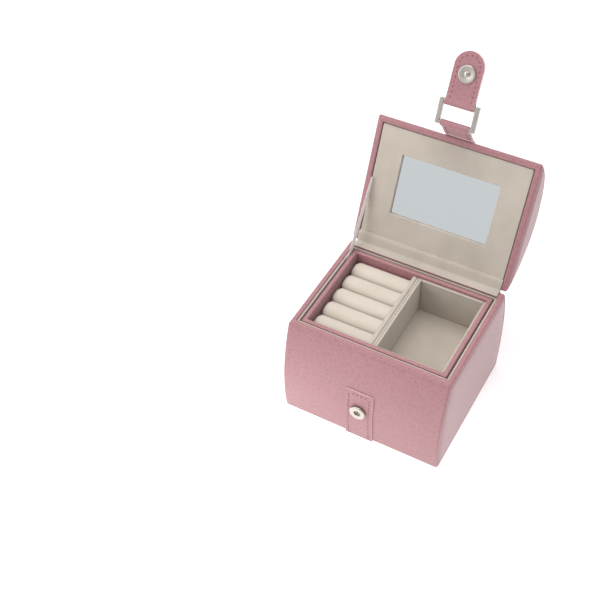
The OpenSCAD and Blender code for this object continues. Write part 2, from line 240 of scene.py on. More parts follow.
def wrap(bm, radius, crease, swell, rim_up):
    """Rounds a shell, gives each face its sheet, and swells the two side sheets inside a fine crease."""
    levels = [v.co.z for v in bm.verts]
    rim_level, under_level = (max(levels), min(levels)) if rim_up > 0 else (min(levels), max(levels))
    rounded = soften(bm, radius, 5)
    for face in bm.faces:
        middle = face.calc_center_median()
        on_side = abs(face.normal.y) < 0.35 and face in rounded
        if abs(middle.z - under_level) < (radius if on_side else 1e-6) and rim_up > 0:
            face.material_index = UNDER
        elif on_side and abs(middle.z - rim_level) < radius:
            face.material_index = RIM
        else:
            face.material_index = FRONT if middle.y < 0 else BACK
    bmesh.ops.remove_doubles(bm, verts=bm.verts, dist=0.01 * MM)
    for sheet, side in ((LEFT, -1), (RIGHT, 1)):
        face = max(bm.faces, key=lambda f: side * f.calc_center_median().x)
        face.material_index = sheet
        for width, lift in ((0.4 * MM, -crease), (0.7 * MM, crease)):
            bmesh.ops.inset_region(bm, faces=[face], thickness=width, depth=lift, use_even_offset=True)
        middle = face.calc_center_median()
        for share, lift in ((0.93, 0.55), (0.91, 0.3), (0.86, 0.15)):
            bmesh.ops.inset_region(bm, faces=[face], thickness=0, depth=0)
            bmesh.ops.scale(bm, vec=(1, share, share), space=Matrix.Translation(-middle), verts=face.verts[:])
            bmesh.ops.translate(bm, vec=(side * lift * swell, 0, 0), verts=face.verts[:])


def tuck_in(bm, up, opening, depth):
    """Opens the face that looks up or down, and turns its leather over into the opening."""
    face = max(bm.faces, key=lambda f: up * f.calc_center_median().z)
    level = face.calc_center_median().z
    border = face.edges[:]
    bmesh.ops.delete(bm, geom=[face], context="FACES_ONLY")
    outside = set(bm.faces)
    made = bmesh.ops.extrude_edge_only(bm, edges=border)
    for vert in new_verts(made):
        vert.co = (copysign(opening[0], vert.co.x), opening[1] if vert.co.y < 0 else opening[2], level)
    lip = [g for g in made["geom"] if isinstance(g, bmesh.types.BMEdge)
           and all(abs(abs(v.co.x) - opening[0]) < 1e-7 for v in g.verts)]
    made = bmesh.ops.extrude_edge_only(bm, edges=lip)
    bmesh.ops.translate(bm, vec=(0, 0, -up * depth), verts=new_verts(made))
    bmesh.ops.recalc_face_normals(bm, faces=bm.faces)
    soften(bm, lip_round, 3, lip)
    for face in bm.faces:
        if face not in outside:
            face.material_index = RIM


def cut_out(bm, *sheets):
    """A copy of a shell with only the named sheets."""
    part = bm.copy()
    bmesh.ops.delete(part, geom=[f for f in part.faces if f.material_index not in sheets], context="FACES")
    for face in part.faces:
        face.material_index = 0
    return part


def make_piece(name, bm, materials, replaced, thickness=0, edge_r=0, rim_material=0,
               smooth=radians(38)):
    """Turns a bmesh into a shown piece that stands for CAD nodes. A sheet's thickness grows inwards."""
    mesh = bpy.data.meshes.new(name)
    bm.to_mesh(mesh)
    bm.free()
    for material in materials:
        mesh.materials.append(material)
    mesh.polygons.foreach_set("use_smooth", [True] * len(mesh.polygons))
    made = bpy.data.objects.new(name, mesh)
    bpy.context.scene.collection.objects.link(made)
    if thickness:
        wall = made.modifiers.new("thickness", "SOLIDIFY")
        wall.thickness = abs(thickness)
        wall.offset = -copysign(1, thickness)
        wall.use_even_offset = True
        wall.material_offset_rim = rim_material
    if edge_r:
        edge = made.modifiers.new("edge", "BEVEL")
        edge.width = edge_r
        edge.segments = 2
        edge.limit_method = "ANGLE"
        edge.angle_limit = radians(50)
    mesh.set_sharp_from_angle(angle=smooth)
    even = made.modifiers.new("even_normals", "WEIGHTED_NORMAL")
    even.keep_sharp = True
    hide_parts(*replaced)
    return made


# Leatherette: polyurethane skin on cloth, embossed hot with a fine pebble grain. The pebbles break up
# its half gloss, and the creases between them are darkened with painted shade. The grain is drawn a
# little coarse, so that it shows.
grain = 1.4 * MM
grain_depth = 0.17 * MM
dye_patch = 30 * MM
leatherette, tree, shader, place = new_material("embossed_leatherette_blush", Roughness=0.42, IOR=1.5)
shader.inputs["Sheen Weight"].default_value = 0.3
shader.inputs["Sheen Roughness"].default_value = 0.4
wander = add(tree, "ShaderNodeTexNoise", {"Vector": place, "Scale": 1 / (3 * grain), "Detail": 1})
drift = add(tree, "ShaderNodeVectorMath", {0: wander.outputs["Color"], 3: 0.5 * grain}, operation="SCALE")
bent = add(tree, "ShaderNodeVectorMath", {0: place, 1: drift.outputs[0]}, operation="ADD")
pebbles = add(tree, "ShaderNodeTexVoronoi",
              {"Vector": bent.outputs[0], "Scale": 1 / grain, "Smoothness": 0.5}, feature="SMOOTH_F1")
pores = add(tree, "ShaderNodeTexNoise", {"Vector": place, "Scale": 1 / (0.4 * grain), "Detail": 2})
relief = add(tree, "ShaderNodeMath", {0: pores.outputs["Fac"], 1: 0.4, 2: pebbles.outputs["Distance"]},
             operation="MULTIPLY_ADD")
bump = add(tree, "ShaderNodeBump", {"Height": relief.outputs[0], "Strength": 0.9, "Distance": grain_depth},
           invert=True)
patches = add(tree, "ShaderNodeTexNoise", {"Vector": place, "Scale": 1 / dye_patch, "Detail": 3})
dye = add(tree, "ShaderNodeMix", {0: patches.outputs["Fac"], 6: linear("#9D6D71"), 7: linear("#A57478")},
          data_type="RGBA")
# Painted shade: the creases between the pebbles are darkened towards #8A5E62.
painted_crease_shade = add(tree, "ShaderNodeMapRange",
              {"Value": pebbles.outputs["Distance"], "From Min": 0.3, "From Max": 0.85, "To Max": 0.5})
colour = add(tree, "ShaderNodeMix", {0: painted_crease_shade.outputs[0], 6: dye.outputs[2], 7: linear("#8A5E62")},
             data_type="RGBA")
tree.links.new(colour.outputs[2], shader.inputs["Base Color"])
tree.links.new(bump.outputs[0], shader.inputs["Normal"])

shell = bmesh.new()
front_chain = arc(shell, (0, -base_y, 0), face_centre, -face_sweep, 28)
back_chain = arc(shell, (0, base_y, 0), Vector((0, -face_centre.y, face_centre.z)), face_sweep, 28)
prism(shell, front_chain + back_chain[::-1], case_x)
wrap(shell, corner_r, side_crease, side_swell, 1)
tuck_in(shell, 1, rim_opening, tuck)
for name, sheet, stands_for in (
    ("base_leather", UNDER, "base_cover"),
    ("front_leather", FRONT, "front_cover"),
    ("back_leather", BACK, "back_cover"),
    ("left_leather", LEFT, "left_cover"),
    ("right_leather", RIGHT, "right_cover"),
    ("rim_leather", RIM, "body_rim"),
):
    part = make_piece(name, cut_out(shell, sheet), [leatherette], [stands_for], skin)
    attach(part, "case")
shell.free()

# ---- Lid leather ----
# The lid's dome is one sheet from the front rim to the back rim, over two half-moon side sheets.
# The rim's leather is turned over round the velvet panel. The lid is drawn shut, then opened.
lid_z = rim_z + 1 * MM
lid_rise = 26.5 * MM
hinge = Vector((0, rim_y, rim_z + 0.5 * MM))
lid_open = radians(-113)
lid_opening = (46.3 * MM, -35.1 * MM, 33.5 * MM)
lid_tuck = 1.4 * MM
lid_swell = 0.7 * MM

dome_r = (rim_y ** 2 + lid_rise ** 2) / (2 * lid_rise)
dome_centre = Vector((0, 0, lid_z + lid_rise - dome_r))
dome_sweep = 2 * asin(rim_y / dome_r)
opened = Matrix.Translation(hinge) @ Matrix.Rotation(lid_open, 4, "X") @ Matrix.Translation(-hinge)

shell = bmesh.new()
dome_chain = arc(shell, (0, -rim_y, lid_z), dome_centre, -dome_sweep, 44)
prism(shell, dome_chain, case_x)
wrap(shell, corner_r, side_crease, lid_swell, -1)
tuck_in(shell, -1, lid_opening, lid_tuck)
bmesh.ops.transform(shell, matrix=opened, verts=shell.verts)
for name, sheets, stands_for in (
    ("lid_leather", (UNDER, FRONT, BACK), "lid_cover"),
    ("lid_left_leather", (LEFT,), "lid_left_cover"),
    ("lid_right_leather", (RIGHT,), "lid_right_cover"),
    ("lid_rim_leather", (RIM,), "lid_rim"),
):
    part = make_piece(name, cut_out(shell, *sheets), [leatherette], [stands_for], skin)
    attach(part, "lid")
shell.free()

# ---- Boards ----
# Grey bookbinder's board, pressed from waste paper and cut to size, is glued up into the case, the lid
# and the tray. Leather covers all of it, so the plain cut shapes of the frame are kept.
board_fibre = 1.5 * MM


def finish_plain(name, material):
    """Gives a material to a CAD node that is shown with its own mesh."""
    materials = frame["nodes"][name].data.materials
    materials.clear()
    materials.append(material)


# Greyboard: unsized and quite matt, flecked with pale and dark fibres.
board, tree, shader, place = new_material("grey_bookbinders_board", Roughness=0.9)
fibres = add(tree, "ShaderNodeTexNoise", {"Vector": place, "Scale": 1 / board_fibre, "Detail": 4})
tone = add(tree, "ShaderNodeMix", {0: fibres.outputs["Fac"], 6: linear("#8E867C"), 7: linear("#A9A196")},
           data_type="RGBA")
tree.links.new(tone.outputs[2], shader.inputs["Base Color"])
for name in frame["nodes"]:
    if name.endswith("_board") or name == "mirror_backing":
        finish_plain(name, board)

# ---- Velvet linings ----
# Short-pile velveteen glued over thin card: the four walls of the well, its floor and the two ledges
# that carry the tray. Each card has soft edges where the cloth is turned over. The tufts are drawn
# coarser than real ones, which are too fine to show.
pile = 0.5 * MM
stroke = 14 * MM


def velveteen(name, low, high):
    """Flocked cloth. Its upright pile scatters light at a glancing angle, and strokes leave faint patches."""
    made, tree, shader, place = new_material(name, Roughness=0.95)
    shader.inputs["Specular IOR Level"].default_value = 0.15
    shader.inputs["Sheen Weight"].default_value = 0.35
    shader.inputs["Sheen Roughness"].default_value = 0.45
    tufts = add(tree, "ShaderNodeTexNoise", {"Vector": place, "Scale": 1 / pile, "Detail": 2})
    strokes = add(tree, "ShaderNodeTexNoise", {"Vector": place, "Scale": 1 / stroke, "Detail": 2})
    both = add(tree, "ShaderNodeMath", {0: tufts.outputs["Fac"], 1: 0.6, 2: strokes.outputs["Fac"]},
               operation="MULTIPLY_ADD")
    shade = add(tree, "ShaderNodeMapRange", {"Value": both.outputs[0], "From Min": 0.5, "From Max": 1.1})
    tone = add(tree, "ShaderNodeMix", {0: shade.outputs[0], 6: linear(low), 7: linear(high)},
               data_type="RGBA")
    nap = add(tree, "ShaderNodeBump", {"Height": tufts.outputs["Fac"], "Strength": 0.5, "Distance": 0.1 * MM})
    tree.links.new(tone.outputs[2], shader.inputs["Base Color"])
    tree.links.new(nap.outputs[0], shader.inputs["Normal"])
    return made


beige_velvet = velveteen("beige_velveteen", "#AEA498", "#BAB0A4")


def card_block(bm, low, high, radius, segments=3):
    """A block with rounded edges between two corners, added to a bmesh."""
    made = bmesh.ops.create_cube(bm, size=1)["verts"]
    bmesh.ops.scale(bm, vec=high - low, verts=made)
    bmesh.ops.translate(bm, vec=(low + high) / 2, verts=made)
    edges = list(dict.fromkeys(e for v in made for e in v.link_edges))
    soften(bm, radius, segments, edges)


for name, radius in (
    ("front_lining", 0.4), ("back_lining", 0.4), ("left_lining", 0.4), ("right_lining", 0.4),
    ("left_ledge", 0.5), ("right_ledge", 0.5), ("floor_pad", 0.8),
):
    bm = bmesh.new()
    card_block(bm, *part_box(name), radius * MM)
    part = make_piece(name + "_velvet", bm, [beige_velvet], [name])
    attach(part, "case")

# ---- Lid panel and mirror ----
# A padded velvet panel fills the lid. It has a window, with its cloth turned back round the edge, and
# the mirror is taped behind it.
panel_low = Vector((-45.9, -34.8, 69.1)) * MM
panel_high = Vector((45.9, 33.2, 70.9)) * MM
window_low = Vector((-30.25, -19.75)) * MM
window_high = Vector((30.25, 16.75)) * MM
panel_round = 0.55 * MM
bm = bmesh.new()
bmesh.ops.create_grid(bm, x_segments=1, y_segments=1, size=1)
for vert in bm.verts:
    vert.co = (panel_high.x if vert.co.x > 0 else panel_low.x, panel_high.y if vert.co.y > 0 else panel_low.y,
               panel_low.z)
for normal, at in (
    (Vector((1, 0, 0)), window_low.x), (Vector((1, 0, 0)), window_high.x),
    (Vector((0, 1, 0)), window_low.y), (Vector((0, 1, 0)), window_high.y),
):
    bmesh.ops.bisect_plane(bm, geom=bm.verts[:] + bm.edges[:] + bm.faces[:], plane_co=normal * at,
                           plane_no=normal)
centre = [f for f in bm.faces if abs(f.calc_center_median().x) < window_high.x
          and window_low.y < f.calc_center_median().y < window_high.y]
bmesh.ops.delete(bm, geom=centre, context="FACES")
made = bmesh.ops.extrude_face_region(bm, geom=bm.faces[:])
bmesh.ops.translate(bm, vec=(0, 0, panel_high.z - panel_low.z), verts=new_verts(made))
bmesh.ops.recalc_face_normals(bm, faces=bm.faces)
soften(bm, panel_round, 4)
bmesh.ops.transform(bm, matrix=opened, verts=bm.verts)
part = make_piece("lid_panel_velvet", bm, [beige_velvet], ["lid_panel"])
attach(part, "lid")

# Silvered glass: float glass with silver behind. It mirrors the case, with a faint green grey cast.
haze_patch = 60 * MM
mirror_low = Vector((-31.75, -21.25, 70.95)) * MM
mirror_high = Vector((31.75, 18.25, 72.3)) * MM
silvered, tree, shader, place = new_material("silvered_float_glass", Metallic=1, Roughness=0.02)
haze = add(tree, "ShaderNodeTexNoise", {"Vector": place, "Scale": 1 / haze_patch, "Detail": 2})
tone = add(tree, "ShaderNodeMix", {0: haze.outputs["Fac"], 6: linear("#EEF3F4"), 7: linear("#F4F8F9")},
           data_type="RGBA")
tree.links.new(tone.outputs[2], shader.inputs["Base Color"])
bm = bmesh.new()
card_block(bm, mirror_low, mirror_high, 0.3 * MM, 2)
bmesh.ops.transform(bm, matrix=opened, verts=bm.verts)
part = make_piece("mirror_glass", bm, [silvered], ["mirror"])
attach(part, "lid")

# ---- Tray ----
# A loose tray of board, covered in the same leatherette, which is turned over the top of each wall
# and glued down inside. A second sheet under the tray hides the raw edges.
tray_low, tray_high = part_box("tray_cover")
tray_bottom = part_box("tray_base_cover")[0].z
tray_wall = 2.6 * MM
tray_fold = 0.6 * MM
tray_round = 0.75 * MM
well_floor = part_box("tray_floor_board")[1].z
bm = bmesh.new()
made = bmesh.ops.create_cube(bm, size=1)["verts"]
low, high = Vector((tray_low.x, tray_low.y, tray_bottom + tray_fold)), tray_high
bmesh.ops.scale(bm, vec=high - low, verts=made)
bmesh.ops.translate(bm, vec=(low + high) / 2, verts=made)
top = max(bm.faces, key=lambda f: f.calc_center_median().z)
bmesh.ops.inset_region(bm, faces=[top], thickness=tray_wall, use_even_offset=True)
made = bmesh.ops.extrude_face_region(bm, geom=[top])
bmesh.ops.delete(bm, geom=[top], context="FACES_ONLY")
bmesh.ops.translate(bm, vec=(0, 0, well_floor - high.z), verts=new_verts(made))
bmesh.ops.recalc_face_normals(bm, faces=bm.faces)
soften(bm, tray_round, 4)
part = make_piece("tray_leather", bm, [leatherette], ["tray_cover"])
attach(part, "tray")

bm = bmesh.new()
card_block(bm, *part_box("tray_base_cover"), 0.25 * MM, 2)
part = make_piece("tray_base_leather", bm, [leatherette], ["tray_base_cover"])
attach(part, "tray")

# ---- Divider and compartment ----
# The divider is two velvet cards, back to back. Four loose cards and a floor line the right compartment,
# so that dark joints run down its corners.
low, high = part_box("tray_divider")
seam = low.x + 2.75 * MM
seam_gap = 0.08 * MM
right_drop = 0.3 * MM
bm = bmesh.new()
card_block(bm, low, Vector((seam, high.y, high.z)), 0.9 * MM, 4)
card_block(bm, Vector((seam + seam_gap, low.y, low.z)), high - Vector((0, 0, right_drop)), 0.6 * MM, 4)
part = make_piece("divider_velvet", bm, [beige_velvet], ["tray_divider"])
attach(part, "tray")

low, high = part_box("compartment_lining")
card = 1.6 * MM
gap = 0.1 * MM
bm = bmesh.new()
for near, far in (
    ((low.x, low.y, low.z), (high.x, high.y, low.z + card)),
    ((low.x, low.y, low.z + card), (low.x + card, high.y, high.z)),
    ((high.x - card, low.y, low.z + card), (high.x, high.y, high.z)),
    ((low.x + card + gap, low.y, low.z + card), (high.x - card - gap, low.y + card, high.z)),
    ((low.x + card + gap, high.y - card, low.z + card), (high.x - card - gap, high.y, high.z)),
):
    card_block(bm, Vector(near), Vector(far), 0.45 * MM)
part = make_piece("compartment_velvet", bm, [beige_velvet], ["compartment_lining"])
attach(part, "tray")

# ---- Ring rolls ----
# Five foam rolls in cream velveteen, pressed side by side so that each is a little squarer than round.
# The left end of each is domed, where the cloth is gathered over the foam. They sit on a foam bed.
cream_velvet = velveteen("cream_velveteen", "#BEB4A7", "#C8BEB2")
roll_dome = 4 * MM
roll_press = 0.14 * MM
squareness = 2.35
dome_sink = 0.5
dome_gather = 0.62
rings_round, rings_along = 40, 26
for number in range(1, 6):
    low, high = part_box(f"ring_roll_{number}")
    middle = (low + high) / 2
    half = (high - low) / 2
    bm = bmesh.new()
    bmesh.ops.create_cone(bm, segments=rings_round, radius1=1, radius2=1, depth=2, cap_ends=True)
    bmesh.ops.subdivide_edges(bm, edges=[e for e in bm.edges if abs(e.verts[0].co.z - e.verts[1].co.z) > 1],
                              cuts=rings_along)
    caps = [f for f in bm.faces if len(f.verts) > 4]
    for face in caps:
        for step in range(4):
            bmesh.ops.inset_region(bm, faces=[face], thickness=0.2, use_even_offset=True)
    for vert in bm.verts:
        across, up, along = vert.co.x, vert.co.y, vert.co.z
        radius = hypot(across, up)
        turn = atan2(up, across)
        box = (abs(cos(turn)) ** squareness + abs(sin(turn)) ** squareness) ** (-1 / squareness)
        left = min(1, max(0, (along * half.x + half.x) / roll_dome))
        reach = radius * box * sqrt(max(0, 1 - (1 - left) ** 2 * min(1, radius)))
        x = middle.x + along * half.x
        if along < -0.999:
            x += roll_dome * dome_sink * (1 - sqrt(max(0, 1 - 0.9 * radius ** 2)))
            reach = radius * box * dome_gather
        y = middle.y + reach * cos(turn) * (half.y + roll_press)
        vert.co = (x, y, middle.z + reach * sin(turn) * half.z)
    roll = f"ring_roll_{number}"
    part = make_piece(roll + "_velvet", bm, [cream_velvet], [roll])
    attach(part, "tray")

bm = bmesh.new()
card_block(bm, *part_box("roll_bed"), 0.8 * MM)
part = make_piece("roll_bed_velvet", bm, [cream_velvet], ["roll_bed"])
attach(part, "tray")

# ---- Snap patch ----
# A strip of doubled leatherette, sewn up the middle of the front. Its edges are cut, so the pale cloth
# backing shows all round it. The thread pulls each stitch down into the skin.
patch_half = 8.75 * MM
patch_t = 0.9 * MM
patch_low, patch_high = 0.3 * MM, 41.4 * MM
patch_rows = 30
seam_inset = 2.3 * MM
patch_pitch = 2.6 * MM
thread_r = 0.3 * MM
edge_round = 0.22 * MM

# Cut edge: the backing cloth and the skin's raw edge, paler than the dyed face and quite matt.
edge_fibre = 0.6 * MM
cut_edge, tree, shader, place = new_material("cut_leatherette_edge", Roughness=0.8)
fibres = add(tree, "ShaderNodeTexNoise", {"Vector": place, "Scale": 1 / edge_fibre, "Detail": 2})
tone = add(tree, "ShaderNodeMix", {0: fibres.outputs["Fac"], 6: linear("#D9B9B7"), 7: linear("#EAD6D2")},
           data_type="RGBA")
tree.links.new(tone.outputs[2], shader.inputs["Base Color"])

# Thread: bonded nylon, twisted from three plies. The twist gives a fine slanted ribbing.
ply = 0.25 * MM
thread, tree, shader, place = new_material("bonded_nylon_thread", Roughness=0.5)
twist = add(tree, "ShaderNodeTexWave", {"Vector": place, "Scale": 0.3 / ply, "Distortion": 1},
            bands_direction="DIAGONAL")
tone = add(tree, "ShaderNodeMix", {0: twist.outputs["Fac"], 6: linear("#7A434D"), 7: linear("#935B65")},
           data_type="RGBA")
tree.links.new(tone.outputs[2], shader.inputs["Base Color"])


def strip(stations, across=10):
    """A sheet that runs across X. Each station gives a point in the YZ plane and a half width."""
    bm = bmesh.new()
    rows = len(stations) - 1
    bmesh.ops.create_grid(bm, x_segments=across, y_segments=rows, size=1)
    for vert in bm.verts:
        y, z, half = stations[round((vert.co.y + 1) / 2 * rows)]
        vert.co = (vert.co.x * half, y, z)
    return bm


def sew(bm, route, pitch, away, span=0.5, radius=thread_r):
    """Lays stitches along a route. Each is a short rounded length of thread, half sunk in the leather."""
    total = sum((b - a).length for a, b in zip(route, route[1:]))
    count = max(1, round(total / pitch))
    for number in range(count):
        at = (number + 0.5) * total / count
        for a, b in zip(route, route[1:]):
            if at <= (b - a).length:
                break
            at -= (b - a).length
        run = (b - a).normalized()
        outward = away(a)
        place = Matrix.Translation(a + run * at + outward * 0.1 * radius)
        turn = Matrix((run, outward.cross(run), outward)).transposed().to_4x4()
        bmesh.ops.create_icosphere(bm, subdivisions=2, radius=1, matrix=place @ turn @ Matrix.Diagonal(
            (span * pitch / 2, radius, radius, 1)))


def bowed(x, z, proud):
    """A point on the front, so far in front of the leather."""
    return face_point(z, proud) + Vector((x, 0, 0))


heights = [patch_low + (patch_high - patch_low) * n / patch_rows for n in range(patch_rows + 1)]
bm = strip([(*bowed(0, z, patch_t)[1:], patch_half) for z in heights])
part = make_piece("snap_patch", bm, [leatherette, cut_edge], ["closure_patch"], patch_t,
                  edge_round, 1)
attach(part, "case")

bm = bmesh.new()
seam_x = patch_half - seam_inset
seam_top = patch_high - seam_inset
side_heights = [patch_low + (seam_top - patch_low) * n / 20 for n in range(21)]
for side in (-1, 1):
    sew(bm, [bowed(side * seam_x, z, patch_t) for z in side_heights], patch_pitch,
        lambda p: (p - face_centre - Vector((p.x, 0, 0))).normalized())
top_half = seam_x - patch_pitch / 2
sew(bm, [bowed(-top_half, seam_top, patch_t), bowed(top_half, seam_top, patch_t)], patch_pitch,
    lambda p: Vector((0, -1, 0)))
part = make_piece("snap_patch_stitches", bm, [thread], [])
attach(part, "case")

# ---- Press snap ----
# Turned brass, plated with nickel. The socket on the patch has a raised rim and a deep eye with a
# spring cup in it. The stud on the strap is a disc with a headed pin.

# Satin nickel: brushed before it was plated, so fine scratches blur its reflections, and the plating
# is a little cloudy. The scratches are drawn coarse enough to show.
brushing = 0.12 * MM
plating_cloud = 6 * MM
nickel, tree, shader, place = new_material("satin_nickel_plate", Metallic=1)
scratches = add(tree, "ShaderNodeTexNoise", {"Vector": place, "Scale": 1 / brushing, "Detail": 2})
clouds = add(tree, "ShaderNodeTexNoise", {"Vector": place, "Scale": 1 / plating_cloud, "Detail": 2})
tone = add(tree, "ShaderNodeMix", {0: clouds.outputs["Fac"], 6: linear("#A8A299"), 7: linear("#BDB8AF")},
           data_type="RGBA")
gloss = add(tree, "ShaderNodeMapRange", {"Value": scratches.outputs["Fac"], "To Min": 0.24, "To Max": 0.42})
grit = add(tree, "ShaderNodeBump",
           {"Height": scratches.outputs["Fac"], "Strength": 0.25, "Distance": 0.02 * MM})
tree.links.new(tone.outputs[2], shader.inputs["Base Color"])
tree.links.new(gloss.outputs[0], shader.inputs["Roughness"])
tree.links.new(grit.outputs[0], shader.inputs["Normal"])


def turned(profile, place, steps=48):
    """A lathe-turned solid. The profile gives radius and height, from the axis out and back to it."""
    bm = bmesh.new()
    chain = [bm.verts.new((radius * MM, 0, height * MM)) for radius, height in profile]
    edges = [bm.edges.new(pair) for pair in zip(chain, chain[1:])]
    bmesh.ops.spin(bm, geom=chain + edges, cent=(0, 0, 0), axis=(0, 0, 1), angle=2 * pi, steps=steps,
                   use_merge=True)
    bmesh.ops.remove_doubles(bm, verts=bm.verts, dist=0.001 * MM)
    bmesh.ops.recalc_face_normals(bm, faces=bm.faces)
    bmesh.ops.transform(bm, matrix=place, verts=bm.verts)
    return bm


snap_z = 26.3 * MM
socket_seat = face_point(snap_z, patch_t)
socket_place = Matrix.Translation(socket_seat) @ Matrix.Rotation(pi / 2, 4, "X")
socket_profile = [
    (0, -0.4), (4.6, -0.4), (4.8, 0.2), (5, 0.9), (4.93, 1.35), (4.7, 1.66), (4.35, 1.8), (3.9, 1.76),
    (3.5, 1.6), (2.9, 1.56), (2.55, 1.66), (2.25, 1.74), (2.05, 1.62), (1.95, 1.2), (1.95, 0.42),
    (1.3, 0.08), (0.9, 0.2), (0, 0.3),
]
part = make_piece("snap_socket_turned", turned(socket_profile, socket_place), [nickel],
                  ["snap_socket"], smooth=radians(50))
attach(part, "case")
for name in ("socket_rivet", "stud_washer"):
    finish_plain(name, nickel)

# ---- Strap ----
# Three links: a leather loop sewn to the lid's edge, a flat-bar ring and a round-ended leather tab.
# Loop and tab are folded round the ring's bars and sewn flat. They are drawn hanging, then turned.
strap_half = 8.5 * MM
bar_r = 1 * MM
bar_gap = 0.08 * MM
fold_run = 4 * MM
strap_pitch = 2.8 * MM
pivots = {joint["name"]: Vector(joint["pos_m"]) for joint in frame["joints"] if "pos_m" in joint}
loop_turn, ring_turn, tab_turn = radians(-146), radians(-201), radians(-205.5)
loop_len, ring_len, tab_len = 15.8 * MM, 12.3 * MM, 29.2 * MM


def hang(pivot, turn):
    """The place of a link that hangs down from a pivot and is turned about it."""
    return Matrix.Translation(pivot) @ Matrix.Rotation(turn, 4, "X")


def layer(leather, s):
    """How far a folded strip's layer lies from the fold's middle plane, so far below the bar."""
    share = min(1, s / fold_run)
    ease = share * share * (3 - 2 * share)
    return leather / 2 + (bar_r + bar_gap) * (1 - ease)


def folded(leather, runs, half_width):
    """Stations of a strip folded round a bar. Its two layers reach down through the given distances."""
    bend_r = layer(leather, 0)
    side = [(layer(leather, s), s) for s in runs]
    crown = [(bend_r * cos(a), -bend_r * sin(a)) for a in (pi * n / 14 for n in range(1, 14))]
    line = side + crown + [(-y, s) for y, s in reversed(side)]
    return [(y, -s, half_width(s)) for y, s in line]


def tab_half(s):
    """Half the tab's width, so far from the bar."""
    end = s - (tab_len - strap_half)
    return strap_half if end <= 0 else max(0.4 * MM, sqrt(max(0, strap_half ** 2 - end ** 2)))


ring_place = hang(pivots["ring_swing"], ring_turn)
side_x = strap_half + 0.6 * MM
side_w = 2.6 * MM
side_t = 2.4 * MM
bm = bmesh.new()
for side in (-1, 1):
    middle = Vector((side * (side_x + side_w / 2), 0, -ring_len / 2))
    half = Vector((side_w / 2, side_t / 2, ring_len / 2 + bar_r))
    card_block(bm, middle - half, middle + half, 0.25 * MM, 2)
for z in (0, -ring_len):
    across = Matrix.Translation((0, 0, z)) @ Matrix.Rotation(pi / 2, 4, "Y")
    bmesh.ops.create_cone(bm, segments=24, radius1=bar_r, radius2=bar_r, depth=2 * side_x + side_w,
                          cap_ends=True, matrix=across)
bmesh.ops.transform(bm, matrix=ring_place, verts=bm.verts)
part = make_piece("strap_ring_bar", bm, [nickel], ["strap_ring"])
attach(part, "ring")

tab_leather = 1.08 * MM
tab_place = hang(pivots["tab_swing"], tab_turn)
seam_end = tab_len - strap_half
round_runs = [seam_end + strap_half * sin(radians(a)) for a in (89, 84, 78, 70, 60, 50, 40, 30, 20, 10)]
straight_runs = [seam_end * (1 - n / 14) for n in range(15)]
bm = strip(folded(tab_leather, round_runs + straight_runs, tab_half), 12)
bmesh.ops.transform(bm, matrix=tab_place, verts=bm.verts)
part = make_piece("strap_tab_leather", bm, [leatherette, cut_edge], ["strap_tab"], tab_leather,
                  edge_round, 1)
part.modifiers["thickness"].offset = 0
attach(part, "tab")

bm = bmesh.new()
seam_half = strap_half - seam_inset
first_stitch = 1.6 * MM
for face in (-1, 1):
    runs = [first_stitch + (seam_end - first_stitch) * n / 12 for n in range(13)]
    side_route = [Vector((-seam_half, face * (layer(tab_leather, s) + tab_leather / 2), -s)) for s in runs]
    end_route = [Vector((-seam_half * cos(a), face * tab_leather, -seam_end - seam_half * sin(a)))
                 for a in (pi * n / 16 for n in range(1, 16))]
    other_route = [Vector((-v.x, v.y, v.z)) for v in reversed(side_route)]
    sew(bm, side_route + end_route + other_route, strap_pitch, lambda p: Vector((0, face, 0)))
bmesh.ops.transform(bm, matrix=tab_place, verts=bm.verts)
part = make_piece("strap_tab_stitches", bm, [thread], [])
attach(part, "tab")

snap_len = 16.8 * MM
stud_seat = 1.1 * MM
stud_place = tab_place @ Matrix.Translation((0, stud_seat, -snap_len)) @ Matrix.Rotation(-pi / 2, 4, "X")
stud_profile = [
    (0, -0.5), (1.2, -0.5), (1.25, -0.1), (4.85, -0.1), (5, 0.3), (4.95, 0.7), (4.82, 0.9), (4.6, 1),
    (4.3, 1), (2.3, 0.92), (2.05, 0.72), (1.2, 0.68), (0.95, 0.9), (0.92, 1.6), (1.1, 1.9),
    (1.08, 2.2), (0.8, 2.37), (0, 2.4),
]
part = make_piece("snap_stud_turned", turned(stud_profile, stud_place), [nickel],
                  ["snap_stud"], smooth=radians(50))
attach(part, "tab")

loop_leather = 0.78 * MM
loop_place = hang(pivots["loop_flex"], loop_turn)
loop_runs = [(loop_len - 0.4 * MM) * (1 - n / 12) ** 1.3 for n in range(13)]
bm = strip([(y, -z - loop_len, half) for y, z, half in folded(loop_leather, loop_runs, lambda s: strap_half)])
bmesh.ops.transform(bm, matrix=loop_place, verts=bm.verts)
part = make_piece("strap_loop_leather", bm, [leatherette, cut_edge], ["strap_loop"],
                  loop_leather, edge_round, 1)
part.modifiers["thickness"].offset = 0
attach(part, "loop")

bm = bmesh.new()
for face in (-1, 1):
    for side in (-1, 1):
        sew(bm, [Vector((side * seam_half, face * loop_leather, -1.2 * MM)),
                 Vector((side * seam_half, face * loop_leather, -loop_len + fold_run))], strap_pitch,
            lambda p: Vector((0, face, 0)))
bmesh.ops.transform(bm, matrix=loop_place, verts=bm.verts)
part = make_piece("strap_loop_stitches", bm, [thread], [])
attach(part, "loop")

# The strap's root is glued flat on the dome, just above the lid's front rim, and sewn across.
root_t = 1.6 * MM
root_round = 0.4 * MM
root_low, root_high = lid_z + 0.6 * MM, lid_z + 8 * MM


def dome_point(x, z, proud, back=-1):
    """A point on the shut lid's dome at a height, so far outside it."""
    radius = dome_r + proud
    return Vector((x, back * sqrt(radius ** 2 - (z - dome_centre.z) ** 2), z))


